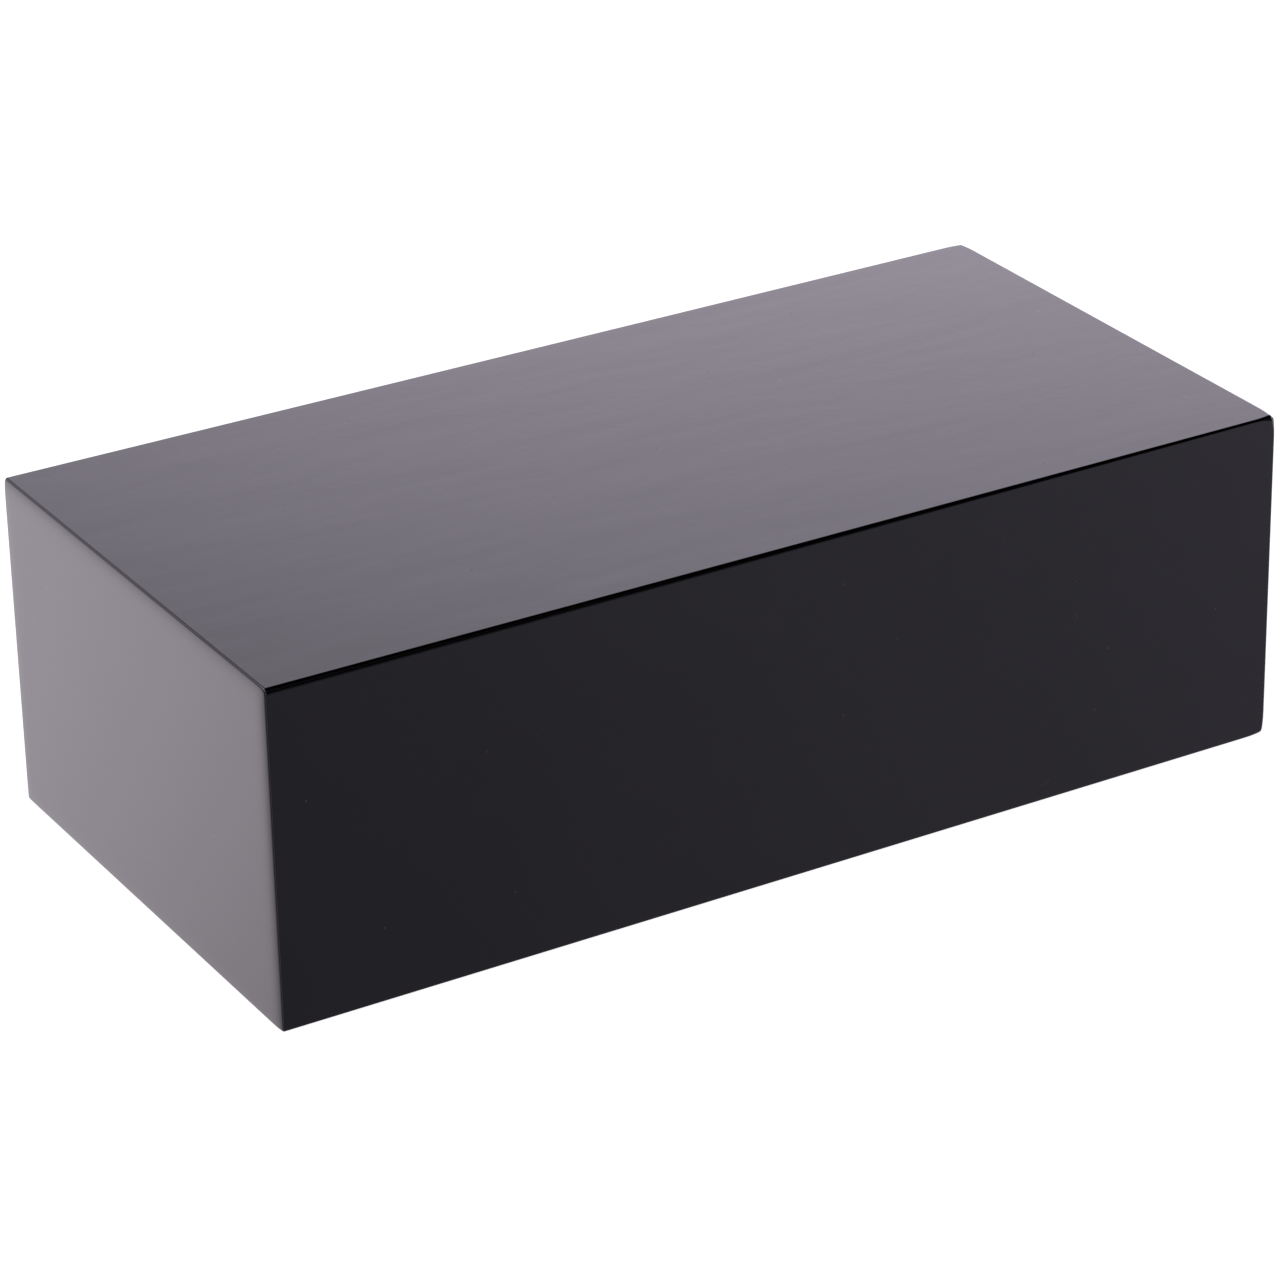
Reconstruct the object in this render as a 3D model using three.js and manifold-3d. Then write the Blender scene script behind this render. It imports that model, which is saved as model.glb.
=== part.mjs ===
// Apple box: a closed plywood box for standing, sitting or setting gear on, finished all over in
// gloss black lacquer. Millimetres, +Z up, length along X, origin at the centre of the underside.
//
// Six panels are butt-jointed round a centre brace and screwed together. The top and bottom cover
// the walls, and the long walls cover the ends. Each screw is sunk below the face under a wooden
// plug, and the filled and lacquered skin runs over the plugs, so no fixing shows outside.

import * as THREE from 'three';
import { RoundedBoxGeometry } from 'three/addons/geometries/RoundedBoxGeometry.js';
import { mergeVertices } from 'three/addons/utils/BufferGeometryUtils.js';
import Module from 'manifold-3d';

// The whole box.
const LENGTH = 508;
const DEPTH = 250;
const HEIGHT = 159;
const EDGE_RADIUS = 1.5;
const EDGE_FACETS = 3;

// The panels. The skin is filler and lacquer, and is counted with the panel that it covers.
const PANEL = 18;
const SKIN = 0.5;

// The countersunk screws, with their lengths measured along the screw from the top of its head.
const SCREW_LENGTH = 38;
const SHANK_RADIUS = 2;
const HEAD_RADIUS = 4;
const HEAD_RIM = 0.6;
const HEAD_CONE = 2.2;
const TIP_LENGTH = 4;
const RECESS_SPAN = 4.4;
const RECESS_SLOT = 1;
const RECESS_DEEP = 1.8;

// The plugs over the screw heads.
const PLUG_RADIUS = 5;
const PLUG_LENGTH = 3.6;

// Room left round each screw and plug, and the facets round them.
const GAP = 0.3;
const ROUND_FACETS = 10;

// Depths below the outer face of a panel.
const PLUG_AT = SKIN + GAP;
const HEAD_AT = PLUG_AT + PLUG_LENGTH + GAP;

// Where the screws sit: the lines along the middle of the walls' edges, and places on those lines.
const WALL_LINE = DEPTH / 2 - PANEL / 2;
const END_LINE = LENGTH / 2 - PANEL / 2;
const WALL_REACH = 170;
const BRACE_REACH = 65;
const CORNER_PITCH = 56;

const wasm = await Module();
wasm.setup();

const lacquered = new THREE.MeshStandardMaterial({ color: 0x0b0a0d, roughness: 0.12, metalness: 0 });
const bareWood = new THREE.MeshStandardMaterial({ color: 0xc9a878, roughness: 0.75, metalness: 0 });
const zincSteel = new THREE.MeshStandardMaterial({ color: 0xb9bcc0, roughness: 0.35, metalness: 1 });

/** Turns a closed three.js geometry into a solid that can be joined and cut. */
function solidFrom(geometry) {
  const bare = geometry.clone();
  bare.deleteAttribute('normal');
  bare.deleteAttribute('uv');
  const merged = mergeVertices(bare);
  const corners = merged.index.array;
  const triVerts = [];
  for (let i = 0; i < corners.length; i += 3) {
    const [a, b, c] = corners.slice(i, i + 3);
    if (a !== b && b !== c && c !== a) triVerts.push(a, b, c);
  }
  const vertProperties = new Float32Array(merged.attributes.position.array);
  return new wasm.Manifold(
    new wasm.Mesh({ numProp: 3, vertProperties, triVerts: new Uint32Array(triVerts) }),
  );
}

/** Turns a solid back into a three.js geometry. */
function geometryFrom(solid) {
  const mesh = solid.getMesh();
  const geometry = new THREE.BufferGeometry();
  geometry.setAttribute('position', new THREE.BufferAttribute(mesh.vertProperties, 3));
  geometry.setIndex(new THREE.BufferAttribute(mesh.triVerts, 1));
  geometry.computeVertexNormals();
  return geometry;
}

/** A square-edged block between two opposite corners. */
function block(low, high) {
  const size = high.map((value, axis) => value - low[axis]);
  const centre = high.map((value, axis) => (value + low[axis]) / 2);
  return new THREE.BoxGeometry(...size).translate(...centre);
}

/** A round solid whose outline is given as [radius, depth] points, with its axis along +Y. */
function turned(outline) {
  const points = outline.map(([radius, depth]) => new THREE.Vector2(radius, depth));
  return new THREE.LatheGeometry(points, ROUND_FACETS);
}

/** The outline of a screw, grown by `room` all round, with the top of its head at `depth`. */
function screwOutline(depth, room) {
  const rimEnd = depth + HEAD_RIM + room;
  const coneEnd = rimEnd + HEAD_CONE;
  const tip = depth + SCREW_LENGTH + 2 * room;
  return [
    [HEAD_RADIUS + room, depth - room],
    [HEAD_RADIUS + room, rimEnd],
    [SHANK_RADIUS + room, coneEnd],
    [SHANK_RADIUS + room, tip - TIP_LENGTH],
    [0, tip],
  ];
}

/** A screw with a cross recess in its head, the top of the head at the origin and +Y to its tip. */
function makeScrew() {
  const body = solidFrom(turned([[0, 0], ...screwOutline(0, 0)]));
  const half = RECESS_SPAN / 2;
  const slot = RECESS_SLOT / 2;
  const along = solidFrom(block([-half, -1, -slot], [half, RECESS_DEEP, slot]));
  const across = solidFrom(block([-slot, -1, -half], [slot, RECESS_DEEP, half]));
  return geometryFrom(body.subtract(along.add(across)));
}

/** A plug over a screw head, its upper face at the origin. */
function makePlug() {
  return geometryFrom(solidFrom(turned([
    [0, 0],
    [PLUG_RADIUS, 0],
    [PLUG_RADIUS, PLUG_LENGTH],
    [0, PLUG_LENGTH],
  ])));
}

/** The room for one screw and its plug, measured from the outer face, below the skin. */
function makePocket() {
  const plugRoom = PLUG_RADIUS + GAP;
  return turned([
    [0, SKIN],
    [plugRoom, SKIN],
    [plugRoom, HEAD_AT - GAP],
    ...screwOutline(HEAD_AT, GAP),
  ]);
}

// Each place is the two coordinates that lie in the face. The top and bottom are screwed to the
// ends, the long walls and the brace, and the long walls to the ends.
const coverPlaces = [];
const wallPlaces = [];
for (const side of [-1, 1]) {
  coverPlaces.push(
    [side * END_LINE, 0],
    [side * WALL_REACH, -WALL_LINE],
    [side * WALL_REACH, WALL_LINE],
    [0, side * BRACE_REACH],
  );
  wallPlaces.push(
    [side * END_LINE, (HEIGHT - CORNER_PITCH) / 2],
    [side * END_LINE, (HEIGHT + CORNER_PITCH) / 2],
  );
}

// Each face that screws are driven through, and how they are turned so that their +Y points inwards.
const faces = [
  {
    name: 'top',
    turn: new THREE.Euler(-Math.PI / 2, 0, 0),
    inward: new THREE.Vector3(0, 0, -1),
    points: coverPlaces.map(([x, y]) => new THREE.Vector3(x, y, HEIGHT)),
  },
  {
    name: 'bottom',
    turn: new THREE.Euler(Math.PI / 2, 0, 0),
    inward: new THREE.Vector3(0, 0, 1),
    points: coverPlaces.map(([x, y]) => new THREE.Vector3(x, y, 0)),
  },
  {
    name: 'front',
    turn: new THREE.Euler(0, 0, 0),
    inward: new THREE.Vector3(0, 1, 0),
    points: wallPlaces.map(([x, z]) => new THREE.Vector3(x, -DEPTH / 2, z)),
  },
  {
    name: 'back',
    turn: new THREE.Euler(0, 0, Math.PI),
    inward: new THREE.Vector3(0, -1, 0),
    points: wallPlaces.map(([x, z]) => new THREE.Vector3(x, DEPTH / 2, z)),
  },
];

const box = new THREE.Group();

function add(name, geometry, material) {
  const mesh = new THREE.Mesh(geometry, material);
  mesh.name = name;
  box.add(mesh);
  return mesh;
}

// Screws and plugs, and the pockets that they need in the wood.
const screwGeometry = makeScrew();
const plugGeometry = makePlug();
const pocketGeometry = makePocket();
let pockets = null;
for (const face of faces) {
  face.points.forEach((point, index) => {
    const number = index + 1;
    const screw = add(`${face.name}_screw_${number}`, screwGeometry, zincSteel);
    screw.position.copy(point).addScaledVector(face.inward, HEAD_AT);
    screw.setRotationFromEuler(face.turn);
    const plug = add(`${face.name}_plug_${number}`, plugGeometry, bareWood);
    plug.position.copy(point).addScaledVector(face.inward, PLUG_AT);
    plug.setRotationFromEuler(face.turn);
    const place = new THREE.Matrix4().makeRotationFromEuler(face.turn).setPosition(point);
    const pocket = solidFrom(pocketGeometry.clone().applyMatrix4(place));
    pockets = pockets === null ? pocket : pockets.add(pocket);
  });
}

// The wooden pieces are cut from one block with rounded edges, so their faces and edges run on
// from panel to panel.
const outside = solidFrom(
  new RoundedBoxGeometry(LENGTH, DEPTH, HEIGHT, EDGE_FACETS, EDGE_RADIUS).translate(0, 0, HEIGHT / 2),
);
const outX = LENGTH / 2;
const outY = DEPTH / 2;
const inX = outX - PANEL;
const inY = outY - PANEL;
const floorZ = PANEL;
const roofZ = HEIGHT - PANEL;

function addPanel(name, low, high, material) {
  const panel = outside.intersect(solidFrom(block(low, high))).subtract(pockets);
  add(name, geometryFrom(panel), material);
}

addPanel('top_panel', [-outX, -outY, roofZ], [outX, outY, HEIGHT], lacquered);
addPanel('bottom_panel', [-outX, -outY, 0], [outX, outY, floorZ], lacquered);
addPanel('front_panel', [-outX, -outY, floorZ], [outX, -inY, roofZ], lacquered);
addPanel('back_panel', [-outX, inY, floorZ], [outX, outY, roofZ], lacquered);
addPanel('left_end_panel', [-outX, -inY, floorZ], [-inX, inY, roofZ], lacquered);
addPanel('right_end_panel', [inX, -inY, floorZ], [outX, inY, roofZ], lacquered);
addPanel('centre_brace', [-PANEL / 2, -inY, floorZ], [PANEL / 2, inY, roofZ], bareWood);

export default box;
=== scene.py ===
import math

import bmesh
import bpy
import numpy as np
from mathutils import Matrix, Vector


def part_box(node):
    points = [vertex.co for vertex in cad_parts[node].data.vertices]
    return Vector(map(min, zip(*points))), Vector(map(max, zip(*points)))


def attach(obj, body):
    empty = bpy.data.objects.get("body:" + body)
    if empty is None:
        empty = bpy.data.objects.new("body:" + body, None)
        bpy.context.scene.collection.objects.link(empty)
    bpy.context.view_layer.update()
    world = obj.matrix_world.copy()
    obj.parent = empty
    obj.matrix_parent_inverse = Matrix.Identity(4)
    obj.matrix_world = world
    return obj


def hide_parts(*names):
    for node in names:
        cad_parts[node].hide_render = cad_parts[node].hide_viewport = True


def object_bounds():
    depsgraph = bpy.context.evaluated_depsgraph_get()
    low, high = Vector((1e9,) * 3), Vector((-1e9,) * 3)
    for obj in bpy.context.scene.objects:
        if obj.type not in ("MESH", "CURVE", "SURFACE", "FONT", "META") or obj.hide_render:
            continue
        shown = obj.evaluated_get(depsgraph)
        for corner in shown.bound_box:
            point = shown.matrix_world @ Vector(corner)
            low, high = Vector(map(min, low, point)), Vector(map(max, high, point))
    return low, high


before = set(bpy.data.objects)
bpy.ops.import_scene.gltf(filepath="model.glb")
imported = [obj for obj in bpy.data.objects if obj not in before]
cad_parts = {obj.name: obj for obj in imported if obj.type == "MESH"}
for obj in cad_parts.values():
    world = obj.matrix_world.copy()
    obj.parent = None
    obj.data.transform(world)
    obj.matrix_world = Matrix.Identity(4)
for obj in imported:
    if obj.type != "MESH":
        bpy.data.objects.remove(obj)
cad_low, cad_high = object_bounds()
scene = bpy.context.scene
scene.view_settings.view_transform = "Standard"

MM = 0.001
BOX_LOW = np.array(cad_low)
BOX_HIGH = np.array(cad_high)

# How far an ordinary edge's rounding reaches into the faces beside it, and the shape of the curve:
# 2 is a circle, and more is squarer.
EDGE = 1.1 * MM
EDGE_POWER = 2.1
# The top front edge is softer at its left end, the top right edge is softer at the front, and the
# top left edge is a little softer all along. The extra softness fades away from its edge over
# SOFT_BLEND, or for the top right edge over SOFT_SPREAD.
SOFT_TOP = 0.6 * MM
SOFT_FRONT = 4.0 * MM
SOFT_RIGHT = 0.9 * MM
SOFT_LEFT = 0.3 * MM
SOFT_BLEND = 2.0 * MM
SOFT_SPREAD = 6.5 * MM
# The four corners of the right end are worn rounder than the edges that meet there.
WORN_CORNER = 1.4 * MM
WORN_SPREAD = 5.5 * MM
# Sanding takes the upright faces back towards their edges: the ends by more than the long sides,
# and the top and front edges by more than the bottom and back ones.
SANDED = (0.88 * MM, 0.08 * MM)
SANDED_LESS = 0.2
SANDED_REACH = 2.3 * MM
SANDED_DEPTH = 4.0 * MM
# The grid over each panel: the rows of points near an edge lie inside EDGE_ZONE, and the others
# are ROW_STEP apart. EDGE_STEPS rows follow the rounding, and FLAT_ROWS are how deep the next lie.
EDGE_ZONE = 12 * MM
ROW_STEP = 14 * MM
EDGE_STEPS = 8
FLAT_ROWS = np.array([1.6, 2.1, 2.8, 3.7, 4.9, 6.4, 8.3, 10.5]) * MM
# How close two places have to be to count as the same, and the step for measuring a slope.
SAME_PLANE = 0.01 * MM
SAME_FACE = 0.001 * MM
SLOPE_STEP = 0.001 * MM

# The screws, and the room round them and their plugs in the wood.
SCREW_GAP = 0.3 * MM
SHANK_RADIUS = 2.0 * MM
HEAD_RIM = 0.6 * MM
HEAD_CONE = 2.2 * MM
TIP_LENGTH = 4.0 * MM
POCKET_SIDES = 20
# Each face that screws are driven through: its axis, and the way in along that axis.
DRIVEN = {"top": (2, -1), "bottom": (2, 1), "front": (1, 1), "back": (1, -1)}

# The camera: where it is, which way it looks, its turn about that line in degrees, its lens in
# millimetres and how far it sees in metres.
CAMERA_PLACE = (-1.07173, -1.81924, 1.08834)
CAMERA_FORWARD = (0.45517, 0.77600, -0.43662)
CAMERA_ROLL = -1.13
CAMERA_LENS = 146.5
CAMERA_REACH = 60

# Colours of the light, and of the room and the floor as the camera sees them.
WHITE = (1.0, 1.0, 1.0, 1)
WARM_LIGHT = (1.0, 0.925, 1.085, 1)
COOL_LIGHT = (1.0, 0.94, 1.15, 1)
PLAIN_LIGHT = (1.0, 0.93, 1.03, 1)
FLOOR_COLOUR = (0.85, 0.85, 0.85, 1)
FLOOR_GLOW = 0.965
FLOOR_HALF = 30.0
FLOOR_GAP = 0.1 * MM
# The azimuth in degrees that stays dark, for the black line along the top front edge.
DARK_AZIMUTH = 152
DEGREES = 180 / math.pi

# Colours of the lacquer, where it is clean, where the wiped film is thick, and on specks.
LACQUER_CLEAN = (0.0001, 0.0001, 0.0003, 1)
LACQUER_FILM = (0.0046, 0.0040, 0.0054, 1)
LACQUER_SPECK = (0.16, 0.15, 0.15, 1)
# The points that the wiping arcs turn round, in metres on each face.
WIPE_CENTRES = ((0.62, -0.35), (-0.41, 0.58))
# The heights of the marks in the lacquer.
PEEL_HEIGHT = 0.01 * MM
WAVE_HEIGHT = 0.08 * MM
SPECK_HEIGHT = 0.04 * MM

# The colours of the bare wood and the screws, and the thickness of a layer of the plywood.
PLY_LAYER = 1.4 * MM
BIRCH_DARK = (0.60, 0.43, 0.26, 1)
BIRCH_PALE = (0.76, 0.60, 0.40, 1)
BIRCH_CROSS = (0.42, 0.27, 0.15, 1)
BIRCH_GRAIN = (0.34, 0.21, 0.11, 1)
BEECH_DARK = (0.52, 0.33, 0.18, 1)
BEECH_PALE = (0.70, 0.50, 0.31, 1)
BEECH_FLECK = (0.28, 0.16, 0.08, 1)
ZINC_BLUE = (0.50, 0.51, 0.54, 1)
ZINC_YELLOW = (0.74, 0.73, 0.68, 1)


# ---------------------------------------------------------------- node helpers

class Nodes:
    """Builds a node tree: each call adds one node and gives back its main output."""

    def __init__(self, tree):
        self.tree = tree
        tree.nodes.clear()

    def add(self, kind, **settings):
        node = self.tree.nodes.new(kind)
        for name, value in settings.items():
            setattr(node, name, value)
        return node

    def join(self, source, socket):
        if hasattr(source, "is_output"):
            self.tree.links.new(source, socket)
        else:
            socket.default_value = source

    def math(self, operation, *inputs):
        node = self.add("ShaderNodeMath", operation=operation)
        for socket, value in zip(node.inputs, inputs):
            self.join(value, socket)
        return node.outputs[0]

    def ramp(self, value, start, end, low=0.0, high=1.0):
        """Goes smoothly from low to high as value goes from start to end."""
        node = self.add("ShaderNodeMapRange", interpolation_type="SMOOTHSTEP")
        for socket, number in zip(node.inputs, (value, start, end, low, high)):
            self.join(number, socket)
        return node.outputs[0]

    def axes(self, vector):
        node = self.add("ShaderNodeSeparateXYZ")
        self.join(vector, node.inputs[0])
        return node.outputs

    def vector(self, x, y, z):
        node = self.add("ShaderNodeCombineXYZ")
        for socket, value in zip(node.inputs, (x, y, z)):
            self.join(value, socket)
        return node.outputs[0]

    def noise(self, vector, scale, detail=2.0, rough=0.5):
        node = self.add("ShaderNodeTexNoise")
        self.join(vector, node.inputs["Vector"])
        node.inputs["Scale"].default_value = scale
        node.inputs["Detail"].default_value = detail
        node.inputs["Roughness"].default_value = rough
        return node.outputs[0]

    def mix(self, factor, first, second):
        node = self.add("ShaderNodeMix", data_type="FLOAT")
        self.join(factor, node.inputs[0])
        self.join(first, node.inputs[2])
        self.join(second, node.inputs[3])
        return node.outputs[0]

    def mix_colour(self, factor, first, second):
        node = self.add("ShaderNodeMix", data_type="RGBA")
        self.join(factor, node.inputs[0])
        self.join(first, node.inputs[6])
        self.join(second, node.inputs[7])
        return node.outputs[2]

    def bump(self, height, distance, normal=None):
        node = self.add("ShaderNodeBump")
        self.join(height, node.inputs["Height"])
        node.inputs["Distance"].default_value = distance
        if normal is not None:
            self.join(normal, node.inputs["Normal"])
        return node.outputs[0]


def shader_material(name):
    """A new material with its node builder, its shader and its output joined up."""
    material = bpy.data.materials.new(name)
    material.use_nodes = True
    n = Nodes(material.node_tree)
    shader = n.add("ShaderNodeBsdfPrincipled")
    output = n.add("ShaderNodeOutputMaterial")
    n.join(shader.outputs[0], output.inputs["Surface"])
    return material, n, shader.inputs


# ---------------------------------------------------------------- studio

def make_camera():
    """A long lens, from the front left and above, turned a little about its own axis."""
    data = bpy.data.cameras.new("camera")
    data.lens = CAMERA_LENS
    data.clip_end = CAMERA_REACH
    camera = bpy.data.objects.new("camera", data)
    scene.collection.objects.link(camera)
    forward = Vector(CAMERA_FORWARD).normalized()
    place = Matrix.Translation(CAMERA_PLACE)
    roll = Matrix.Rotation(math.radians(CAMERA_ROLL), 3, -forward)
    turn = forward.to_track_quat("-Z", "Y").to_matrix()
    camera.matrix_world = place @ (roll @ turn).to_4x4()
    scene.camera = camera


def make_world():
    """A dark room with a big soft light low behind the box, others to its left and overhead, and
    pale walls. The camera itself sees plain white.

    Azimuth is 0 along +Y and grows towards +X, and both angles are in degrees.
    """
    world = bpy.data.worlds.new("studio")
    scene.world = world
    world.use_nodes = True
    n = Nodes(world.node_tree)
    coords = n.add("ShaderNodeTexCoord")
    x, y, z = n.axes(coords.outputs["Generated"])
    azimuth = n.math("MULTIPLY", n.math("ARCTAN2", x, y), DEGREES)
    elevation = n.math("MULTIPLY", n.math("ARCSINE", z), DEGREES)

    # The walls: pale behind the box, and dim in front of it with a fill beside the dark azimuth.
    from_dark = n.math("SUBTRACT", azimuth, DARK_AZIMUTH)
    towards = n.math("COSINE", n.math("MULTIPLY", from_dark, math.pi / 180))
    fill_across = n.ramp(towards, 0.99, 0.84, low=0.0, high=0.3)
    fill = n.math("MULTIPLY", fill_across, n.ramp(elevation, 32, 16))
    front = n.math("ADD", n.ramp(elevation, 1, 11, low=0.10, high=0.003), fill)
    back = n.ramp(elevation, 4, 14, low=1.2, high=0.012)
    turned = n.ramp(n.math("ABSOLUTE", azimuth), 70, 110)
    walls = n.mix(turned, back, front)

    # The lights: the big one behind, the one to the left, and the one overhead.
    across = n.math("MULTIPLY", n.ramp(azimuth, -2.5, 32), n.ramp(azimuth, 80, 50))
    behind = n.math("MULTIPLY", n.ramp(elevation, -11.3, 43.7, low=5.5, high=0.0), across)
    behind = n.math("MINIMUM", behind, 2.4)
    left_across = n.math("MULTIPLY", n.ramp(azimuth, -60, -42), n.ramp(azimuth, 22, -4))
    left = n.math("MULTIPLY", n.ramp(elevation, 8, 47, low=1.5, high=0.0), left_across)
    overhead = n.ramp(elevation, 66, 88, low=0.0, high=1.2)
    lit = n.math("ADD", n.math("ADD", walls, overhead), n.math("ADD", behind, left))
    seen = n.add("ShaderNodeLightPath").outputs["Is Camera Ray"]
    background = n.add("ShaderNodeBackground")
    n.join(n.mix_colour(seen, WARM_LIGHT, WHITE), background.inputs["Color"])
    n.join(n.mix(seen, lit, 1.0), background.inputs["Strength"])
    out = n.add("ShaderNodeOutputWorld")
    n.join(background.outputs[0], out.inputs["Surface"])


def make_floor():
    """A white sweep, plain white to the camera. In the lacquer it shows painted light: it glows
    bright beside and behind the box as a painted pool of light, and dim in front as a painted
    shadow of the box.
    """
    mesh = bpy.data.meshes.new("floor")
    half = FLOOR_HALF
    corners = [(-half, -half, 0), (half, -half, 0), (half, half, 0), (-half, half, 0)]
    mesh.from_pydata(corners, [], [(0, 1, 2, 3)])
    floor = bpy.data.objects.new("floor", mesh)
    floor.location.z = cad_low.z - FLOOR_GAP
    scene.collection.objects.link(floor)
    material = bpy.data.materials.new("pale_floor")
    material.use_nodes = True
    n = Nodes(material.node_tree)
    coords = n.add("ShaderNodeTexCoord")
    x, y, unused = n.axes(coords.outputs["Object"])

    # The turn round each front corner of the box, from straight sideways to straight forwards,
    # where the painted shadow in front meets the painted light beside.
    forwards = n.math("SUBTRACT", cad_low.y, y)
    sideways = n.math("SUBTRACT", n.math("ABSOLUTE", x), cad_high.x)
    turn = n.math("MULTIPLY", n.math("ARCTAN2", forwards, sideways), DEGREES)
    on_right = n.math("GREATER_THAN", x, 0.0)
    beside = n.mix(on_right, n.ramp(turn, 40, 4), n.ramp(turn, 50, -30))

    # How bright the floor's painted glow is: a painted pool of light beside the box by a curve
    # along Y, and a painted shadow in front of it along X that fades further out in front.
    back = n.math("MINIMUM", n.math("MAXIMUM", y, -0.3), 0.45)
    slope = n.math("SUBTRACT", 1.584, n.math("MULTIPLY", back, 1.759))
    side_light = n.math("ADD", 1.54, n.math("MULTIPLY", back, slope))
    front_light = n.math("ADD", 0.415, n.math("MULTIPLY", x, 0.34))
    front_light = n.math("MINIMUM", n.math("MAXIMUM", front_light, 0.30), 0.64)
    front_light = n.math("MULTIPLY", front_light, n.ramp(y, -1.5, -0.5, low=0.2, high=1.0))
    # This emission is the painted light and painted shadow that only reflections see; the camera
    # sees the even white below.
    painted_reflection_glow = n.add("ShaderNodeEmission")
    n.join(n.mix(beside, front_light, side_light), painted_reflection_glow.inputs["Strength"])
    n.join(n.mix_colour(beside, COOL_LIGHT, PLAIN_LIGHT), painted_reflection_glow.inputs["Color"])

    shown = n.add("ShaderNodeEmission")
    shown.inputs["Strength"].default_value = FLOOR_GLOW
    diffuse = n.add("ShaderNodeBsdfDiffuse")
    diffuse.inputs["Color"].default_value = FLOOR_COLOUR
    white = n.add("ShaderNodeAddShader")
    n.join(shown.outputs[0], white.inputs[0])
    n.join(diffuse.outputs[0], white.inputs[1])

    both = n.add("ShaderNodeMixShader")
    n.join(n.add("ShaderNodeLightPath").outputs["Is Camera Ray"], both.inputs[0])
    n.join(painted_reflection_glow.outputs[0], both.inputs[1])
    n.join(white.outputs[0], both.inputs[2])
    out = n.add("ShaderNodeOutputMaterial")
    n.join(both.outputs[0], out.inputs["Surface"])
    mesh.materials.append(material)


# ---------------------------------------------------------------- materials

def arc_streaks(n, vector, centre_u, centre_v):
    """Fine streaks along arcs round a point, as a wiping hand leaves them."""
    u, v, unused = n.axes(vector)
    across = n.math("SUBTRACT", u, centre_u)
    up = n.math("SUBTRACT", v, centre_v)
    radius = n.math("SQRT", n.math("ADD", n.math("POWER", across, 2.0), n.math("POWER", up, 2.0)))
    angle = n.math("ARCTAN2", up, across)
    polar = n.vector(n.math("MULTIPLY", radius, 260.0), n.math("MULTIPLY", angle, 5.0), 0.0)
    return n.noise(polar, 1.0, 3.0, 0.6)


def lint(n, vector):
    """A few short curved fibres, one in some of the cells of a grid."""
    cells = n.add("ShaderNodeTexVoronoi", voronoi_dimensions="2D")
    n.join(vector, cells.inputs["Vector"])
    cells.inputs["Scale"].default_value = 13.0
    chosen, start, bend = n.axes(cells.outputs["Color"])
    offset = n.add("ShaderNodeVectorMath", operation="SUBTRACT")
    n.join(vector, offset.inputs[0])
    n.join(cells.outputs["Position"], offset.inputs[1])
    u, v, unused = n.axes(offset.outputs[0])
    radius = n.math("SQRT", n.math("ADD", n.math("POWER", u, 2.0), n.math("POWER", v, 2.0)))
    curve = n.ramp(bend, 0.0, 1.0, low=1.5 * MM, high=4.0 * MM)
    off_line = n.math("ABSOLUTE", n.math("SUBTRACT", radius, curve))
    share = n.math("DIVIDE", n.math("ARCTAN2", v, u), 2 * math.pi)
    turn = n.math("FRACT", n.math("ADD", share, start))
    on_line = n.math("MULTIPLY", n.ramp(off_line, 0.16 * MM, 0.05 * MM), n.ramp(turn, 0.30, 0.22))
    return n.math("MULTIPLY", on_line, n.math("LESS_THAN", chosen, 0.22))


def make_lacquer():
    """Gloss black lacquer with a faint wiped film, a little orange peel, and specks and fibres."""
    material, n, shader = shader_material("black_lacquer")
    face = n.add("ShaderNodeUVMap").outputs[0]

    patches = n.ramp(n.noise(face, 9.0, 3.0, 0.55), 0.38, 0.68)
    first, second = (n.ramp(arc_streaks(n, face, *centre), 0.35, 0.75) for centre in WIPE_CENTRES)
    streaks = n.mix(patches, first, second)
    cloud = n.ramp(n.noise(face, 16.0, 6.0, 0.72), 0.36, 0.72)
    film = n.math("ADD", n.math("MULTIPLY", streaks, 0.4), n.math("MULTIPLY", cloud, 0.6))

    dust = n.add("ShaderNodeTexVoronoi", voronoi_dimensions="2D")
    n.join(face, dust.inputs["Vector"])
    dust.inputs["Scale"].default_value = 30.0
    chosen, dust_size, unused = n.axes(dust.outputs["Color"])
    radius = n.ramp(dust_size, 0.0, 1.0, 0.005, 0.012)
    inside = n.math("LESS_THAN", dust.outputs["Distance"], radius)
    speck = n.math("MULTIPLY", inside, n.math("LESS_THAN", chosen, 0.16))
    speck = n.math("MAXIMUM", speck, n.math("MULTIPLY", lint(n, face), 0.4))

    clean = n.mix_colour(film, LACQUER_CLEAN, LACQUER_FILM)
    n.join(n.mix_colour(speck, clean, LACQUER_SPECK), shader["Base Color"])
    gloss = n.mix(film, 0.05, 0.17)
    n.join(n.mix(speck, gloss, 0.6), shader["Roughness"])
    shader["IOR"].default_value = 1.5

    u, v, unused = n.axes(face)
    along = n.vector(n.math("MULTIPLY", u, 9.0), n.math("MULTIPLY", v, 34.0), 0.0)
    peel = n.bump(n.noise(face, 230.0, 2.0), PEEL_HEIGHT)
    waves = n.bump(n.noise(along, 1.0, 2.0), WAVE_HEIGHT, peel)
    n.join(n.bump(speck, SPECK_HEIGHT, waves), shader["Normal"])
    return material


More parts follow.
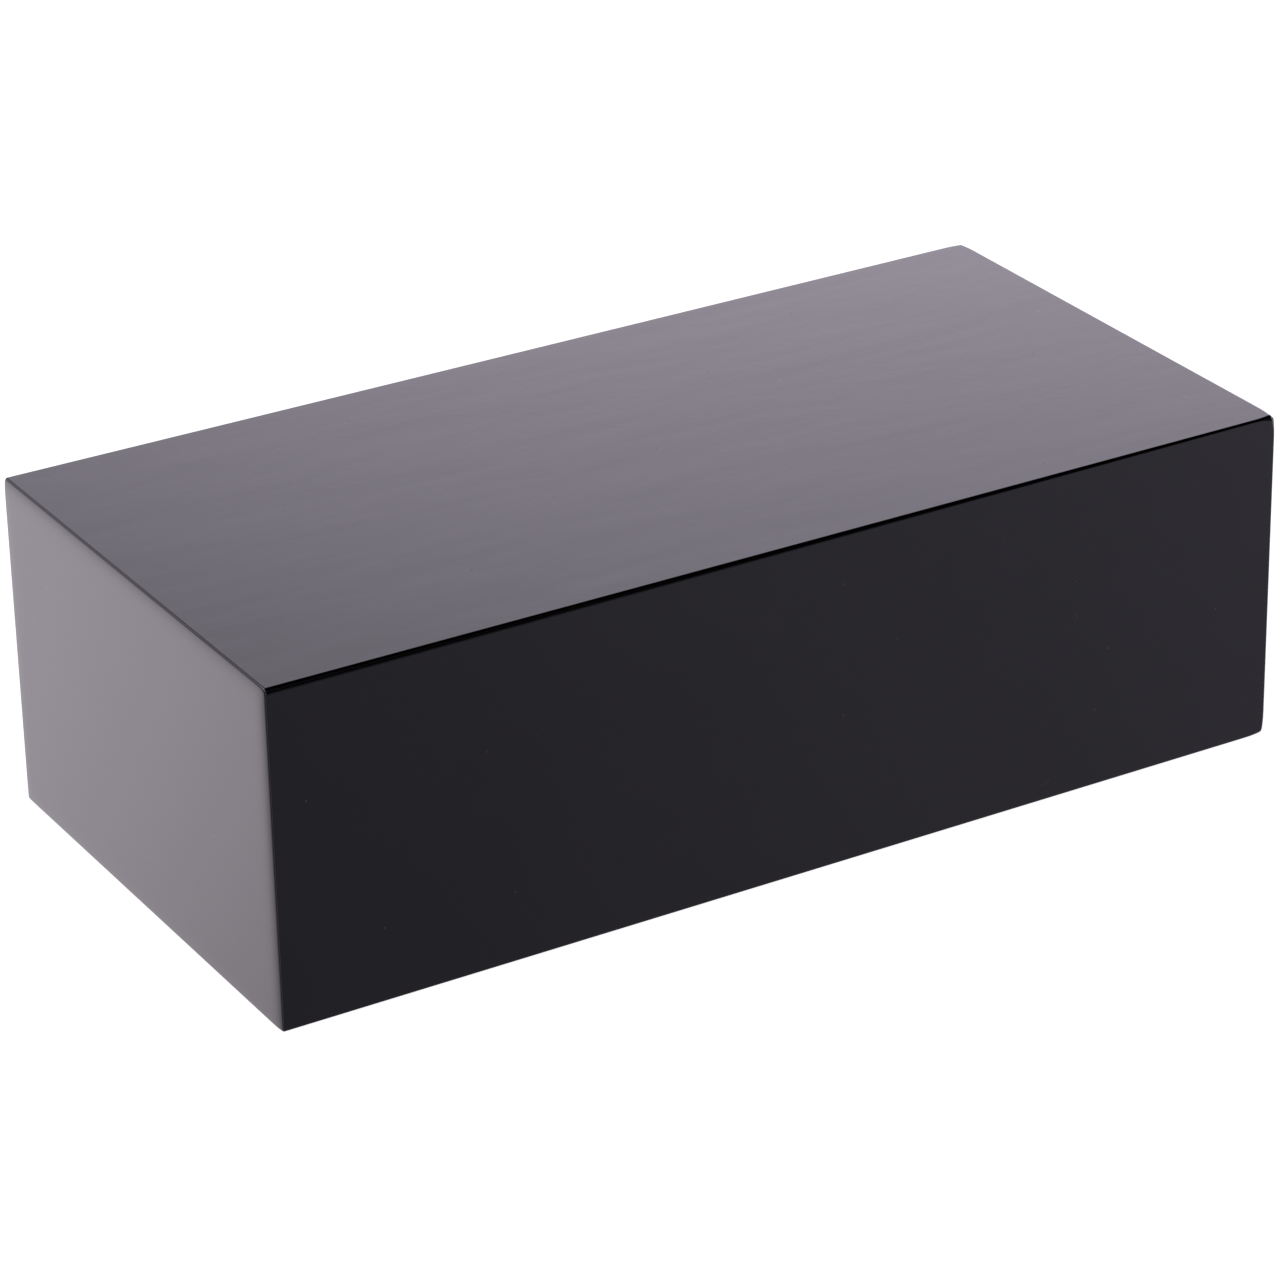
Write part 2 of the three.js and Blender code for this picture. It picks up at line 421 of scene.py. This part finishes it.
def make_plywood(axis):
    """Bare birch plywood with its layers stacked along one axis, and the grain turned in each."""
    material, n, shader = shader_material("bare_plywood_" + "xyz"[axis])
    coords = n.add("ShaderNodeTexCoord").outputs["Object"]
    along = list(n.axes(coords))
    depth = along.pop(axis)
    layer = n.math("FLOOR", n.math("DIVIDE", depth, PLY_LAYER))
    turned = n.math("MODULO", n.math("ABSOLUTE", layer), 2.0)
    across = n.mix(turned, along[0], along[1])
    length = n.mix(turned, along[1], along[0])
    shift = n.math("MULTIPLY", layer, 3.7)
    fine = n.vector(n.math("MULTIPLY", across, 900.0), n.math("MULTIPLY", length, 35.0), shift)
    grain = n.noise(fine, 1.0, 4.0, 0.6)
    broad = n.vector(n.math("MULTIPLY", across, 60.0), n.math("MULTIPLY", length, 8.0), shift)
    figure = n.noise(broad, 1.0, 2.0, 0.5)
    pale = n.mix_colour(figure, BIRCH_DARK, BIRCH_PALE)
    toned = n.mix_colour(n.math("MULTIPLY", turned, 0.35), pale, BIRCH_CROSS)
    lines = n.ramp(grain, 0.35, 0.75, low=0.0, high=0.5)
    n.join(n.mix_colour(lines, toned, BIRCH_GRAIN), shader["Base Color"])
    n.join(n.ramp(grain, 0.2, 0.8, low=0.62, high=0.82), shader["Roughness"])
    n.join(n.bump(grain, 0.12 * MM), shader["Normal"])
    return material


def make_plug_wood():
    """End grain of a turned beech plug: rings with fine flecks."""
    material, n, shader = shader_material("plug_wood")
    coords = n.add("ShaderNodeTexCoord").outputs["Object"]
    flecks = n.noise(coords, 1800.0, 3.0, 0.6)
    rings = n.noise(coords, 240.0, 2.0, 0.5)
    base = n.mix_colour(rings, BEECH_DARK, BEECH_PALE)
    marks = n.ramp(flecks, 0.45, 0.8, low=0.0, high=0.6)
    n.join(n.mix_colour(marks, base, BEECH_FLECK), shader["Base Color"])
    n.join(n.ramp(flecks, 0.2, 0.8, low=0.6, high=0.8), shader["Roughness"])
    n.join(n.bump(flecks, 0.08 * MM), shader["Normal"])
    return material


def make_zinc():
    """Bright zinc plate with the faint blotches of the plating bath."""
    material, n, shader = shader_material("zinc_steel")
    coords = n.add("ShaderNodeTexCoord").outputs["Object"]
    blotch = n.noise(coords, 500.0, 3.0, 0.6)
    fine = n.noise(coords, 6000.0, 2.0)
    n.join(n.mix_colour(blotch, ZINC_BLUE, ZINC_YELLOW), shader["Base Color"])
    shader["Metallic"].default_value = 1.0
    n.join(n.ramp(blotch, 0.3, 0.7, low=0.26, high=0.42), shader["Roughness"])
    n.join(n.bump(fine, 0.01 * MM), shader["Normal"])
    return material


# ---------------------------------------------------------------- panels

def edge_reach(points):
    """How far the rounding reaches into the faces along X, Y and Z, at each point."""
    from_low = points - BOX_LOW
    from_high = BOX_HIGH - points
    share = from_high / (BOX_HIGH - BOX_LOW)
    near_low = np.exp(-from_low / SOFT_BLEND)
    near_high = np.exp(-from_high / SOFT_BLEND)
    by_low = from_low < from_high
    reach = np.full(points.shape, EDGE)
    to_left, to_front = share[:, 0], share[:, 1]
    reach[:, 1] += by_low[:, 1] * SOFT_TOP * to_left * near_high[:, 2]
    reach[:, 2] += ~by_low[:, 2] * SOFT_FRONT * to_left * near_low[:, 1]
    by_edge = np.exp(-((from_high / SOFT_SPREAD) ** 4))
    reach[:, 2] += ~by_low[:, 2] * SOFT_RIGHT * to_front * by_edge[:, 0]
    reach[:, 0] += ~by_low[:, 0] * SOFT_RIGHT * to_front * by_edge[:, 2]
    reach[:, 2] += ~by_low[:, 2] * SOFT_LEFT * near_low[:, 0]
    away = np.minimum(from_low, from_high)
    away[:, 0] = from_high[:, 0]
    worn = np.exp(-((away / WORN_SPREAD) ** 2).sum(axis=1, keepdims=True))
    return reach + WORN_CORNER * worn


def spread_rows(points):
    """Moves the rows near each edge so that they follow how wide its rounding is there."""
    reach = edge_reach(points)
    from_low = points - BOX_LOW
    from_high = BOX_HIGH - points
    depth = np.minimum(from_low, from_high)
    side = np.where(from_low < from_high, 1.0, -1.0)
    inner = depth * reach / EDGE
    outer = reach + (depth - EDGE) * (EDGE_ZONE - reach) / (EDGE_ZONE - EDGE)
    moved = np.where(depth <= EDGE, inner, np.where(depth < EDGE_ZONE, outer, depth))
    return points + side * (moved - depth)


def soften(points):
    """Takes points on or in the square-edged box to where they lie on the rounded one."""
    reach = edge_reach(points)
    core = np.clip(points, BOX_LOW + reach, BOX_HIGH - reach)
    out = (points - core) / reach
    largest = np.abs(out).max(axis=1, keepdims=True)
    size = (np.abs(out) ** EDGE_POWER).sum(axis=1, keepdims=True) ** (1 / EDGE_POWER)
    scale = np.divide(largest, size, out=np.ones_like(size), where=size > 0)
    rounded = core + (points - core) * scale

    from_low = points - BOX_LOW
    from_high = BOX_HIGH - points
    by_low = np.exp(-from_low / SANDED_REACH) * (SANDED_LESS, 1, SANDED_LESS)
    by_high = np.exp(-from_high / SANDED_REACH) * (1, SANDED_LESS, 1)
    by_edge = by_low + by_high
    for axis in (0, 1):
        beside = 1 - (1 - by_edge[:, 1 - axis]) * (1 - by_edge[:, 2])
        at_low = np.exp(-from_low[:, axis] / SANDED_DEPTH)
        at_high = np.exp(-from_high[:, axis] / SANDED_DEPTH)
        rounded[:, axis] += SANDED[axis] * beside * (at_low - at_high)
    return rounded


def surface_normals(points, axis, outward):
    """Normals of the rounded surface, for points that lie on one flat face of the square box."""
    middle = (BOX_LOW + BOX_HIGH) / 2
    base = soften(points)
    steps = []
    for other in ((axis + 1) % 3, (axis + 2) % 3):
        length = np.where(points[:, other] < middle[other], SLOPE_STEP, -SLOPE_STEP)
        stepped = points.copy()
        stepped[:, other] += length
        steps.append((soften(stepped) - base) / length[:, None])
    normals = np.cross(*steps) * outward
    return normals / np.linalg.norm(normals, axis=1, keepdims=True)


def rows_along(low, high, box_low, box_high):
    """Where the grid lines cross one axis: close together by the box's own edges."""
    turns = np.radians(np.linspace(45, 0, EDGE_STEPS + 1))
    rounding = EDGE * (1 - np.tan(turns))
    depths = np.concatenate((rounding, FLAT_ROWS))
    rows = [[low, high]]
    start, stop = low, high
    if abs(low - box_low) < SAME_PLANE:
        rows.append(low + depths)
        start = low + EDGE_ZONE
    if abs(high - box_high) < SAME_PLANE:
        rows.append(high - depths)
        stop = high - EDGE_ZONE
    count = max(2, math.ceil((stop - start) / ROW_STEP) + 1)
    rows.append(np.linspace(start, stop, count))
    return np.unique(np.concatenate(rows).round(7))


def block_surface(rows):
    """The points and outward quads of a block, with a grid line at each row."""
    places = {}
    quads = []
    for axis in range(3):
        u, v = (axis + 1) % 3, (axis + 2) % 3
        for end in (0, len(rows[axis]) - 1):
            for i in range(len(rows[u]) - 1):
                for j in range(len(rows[v]) - 1):
                    ring = []
                    for di, dj in ((0, 0), (1, 0), (1, 1), (0, 1)):
                        key = [0, 0, 0]
                        key[axis], key[u], key[v] = end, i + di, j + dj
                        ring.append(places.setdefault(tuple(key), len(places)))
                    quads.append(ring if end else ring[::-1])
    points = np.array([[rows[axis][key[axis]] for axis in range(3)] for key in places])
    return points, quads


def make_cutter():
    """One object with the room for every screw and its plug, which is cut from the wood."""
    shape = bmesh.new()
    for screw in sorted(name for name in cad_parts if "_screw_" in name):
        axis, inward = DRIVEN[screw.split("_")[0]]
        u, v = (axis + 1) % 3, (axis + 2) % 3
        screw_low, screw_high = (np.array(corner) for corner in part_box(screw))
        plug_name = screw.replace("screw", "plug")
        plug_low, plug_high = (np.array(corner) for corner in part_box(plug_name))
        head, tip = (screw_low, screw_high) if inward > 0 else (screw_high, screw_low)
        plug = plug_low if inward > 0 else plug_high
        head_room = max((screw_high - screw_low)[[u, v]]) / 2 + SCREW_GAP
        plug_room = max((plug_high - plug_low)[[u, v]]) / 2 + SCREW_GAP
        shank_room = SHANK_RADIUS + SCREW_GAP
        gap = inward * SCREW_GAP
        rim = head[axis] + inward * HEAD_RIM + gap
        outline = [
            (plug_room, plug[axis] - gap),
            (plug_room, head[axis] - gap),
            (head_room, head[axis] - gap),
            (head_room, rim),
            (shank_room, rim + inward * HEAD_CONE),
            (shank_room, tip[axis] - inward * TIP_LENGTH + 2 * gap),
        ]
        centre = (screw_low + screw_high) / 2
        rings = []
        for radius, place in outline:
            ring = []
            for step in range(POCKET_SIDES):
                angle = 2 * math.pi * step / POCKET_SIDES
                point = centre.copy()
                point[axis] = place
                point[u] += radius * math.cos(angle)
                point[v] += radius * math.sin(angle)
                ring.append(shape.verts.new(point))
            rings.append(ring)
        centre[axis] = tip[axis] + 2 * gap
        point = shape.verts.new(centre)
        shape.faces.new(rings[0])
        for i in range(POCKET_SIDES):
            for first, second in zip(rings, rings[1:]):
                shape.faces.new((first[i - 1], first[i], second[i], second[i - 1]))
            shape.faces.new((rings[-1][i - 1], rings[-1][i], point))
    bmesh.ops.recalc_face_normals(shape, faces=shape.faces)
    mesh = bpy.data.meshes.new("pockets")
    shape.to_mesh(mesh)
    shape.free()
    cutter = bpy.data.objects.new("pockets", mesh)
    scene.collection.objects.link(cutter)
    return cutter


def cut(piece, cutter):
    """Cuts the cutter's shape out of a piece, and gives the piece its new mesh."""
    modifier = piece.modifiers.new("pockets", "BOOLEAN")
    modifier.operation = "DIFFERENCE"
    modifier.solver = "EXACT"
    modifier.object = cutter
    bpy.context.view_layer.update()
    whole = piece.evaluated_get(bpy.context.evaluated_depsgraph_get())
    mesh = bpy.data.meshes.new_from_object(whole)
    piece.modifiers.clear()
    old = piece.data
    piece.data = mesh
    bpy.data.meshes.remove(old)
    mesh.name = piece.name


def finish_surface(mesh):
    """Rounds a panel's mesh, and gives each corner of its lacquered faces its normal and UV."""
    flat = np.zeros(3 * len(mesh.vertices), dtype=np.float32)
    mesh.vertices.foreach_get("co", flat)
    flat = flat.reshape(-1, 3).astype(float)
    mesh.vertices.foreach_set("co", soften(flat).ravel())
    mesh.update()
    corners = np.zeros(len(mesh.loops), dtype=np.int32)
    mesh.loops.foreach_get("vertex_index", corners)
    uv = np.zeros((len(corners), 2))
    normals = np.zeros((len(corners), 3))
    faces = {}
    for polygon in mesh.polygons:
        spread = flat[list(polygon.vertices)]
        skin = None
        for axis in range(3):
            for outward, limit in ((-1, BOX_LOW[axis]), (1, BOX_HIGH[axis])):
                if np.abs(spread[:, axis] - limit).max() < SAME_FACE:
                    skin = (axis, outward)
        loops = list(polygon.loop_indices)
        normals[loops] = polygon.normal
        polygon.material_index = 0 if skin else 1
        polygon.use_smooth = skin is not None
        if skin:
            faces.setdefault(skin, []).extend(loops)
    for (axis, outward), loops in faces.items():
        points = flat[corners[loops]]
        normals[loops] = surface_normals(points, axis, outward)
        # Each face takes its patterns from a place of its own.
        offset = 3 * axis + outward
        uv[loops] = points[:, [(axis + 1) % 3, (axis + 2) % 3]] + offset
    layer = mesh.uv_layers.new(name="UVMap")
    layer.data.foreach_set("uv", uv.ravel())
    mesh.normals_split_custom_set(normals.tolist())


def make_panel(node, thickness_axis, lacquer, plywood, cutter):
    """Makes the lacquered panel that takes the place of one CAD panel."""
    low, high = (np.array(corner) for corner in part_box(node))
    rows = [rows_along(low[i], high[i], BOX_LOW[i], BOX_HIGH[i]) for i in range(3)]
    points, quads = block_surface(rows)
    mesh = bpy.data.meshes.new(node + "_block")
    mesh.from_pydata(spread_rows(points).tolist(), [], quads)
    piece = bpy.data.objects.new(node + "_lacquered", mesh)
    scene.collection.objects.link(piece)
    cut(piece, cutter)
    piece.data.materials.clear()
    piece.data.materials.append(lacquer)
    piece.data.materials.append(plywood[thickness_axis])
    finish_surface(piece.data)
    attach(piece, "root")
    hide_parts(node)


# The outer panels, each with the axis that it is thin along.
PANELS = {
    "top_panel": 2,
    "bottom_panel": 2,
    "front_panel": 1,
    "back_panel": 1,
    "left_end_panel": 0,
    "right_end_panel": 0,
}

make_camera()
make_world()
make_floor()

lacquer = make_lacquer()
plywood = [make_plywood(axis) for axis in range(3)]
plug_wood = make_plug_wood()
zinc = make_zinc()
for name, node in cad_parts.items():
    material = zinc if "_screw_" in name else plug_wood if "_plug_" in name else plywood[0]
    node.data.materials.clear()
    node.data.materials.append(material)
cutter = make_cutter()
for name, thickness_axis in PANELS.items():
    make_panel(name, thickness_axis, lacquer, plywood, cutter)
bpy.data.objects.remove(cutter)
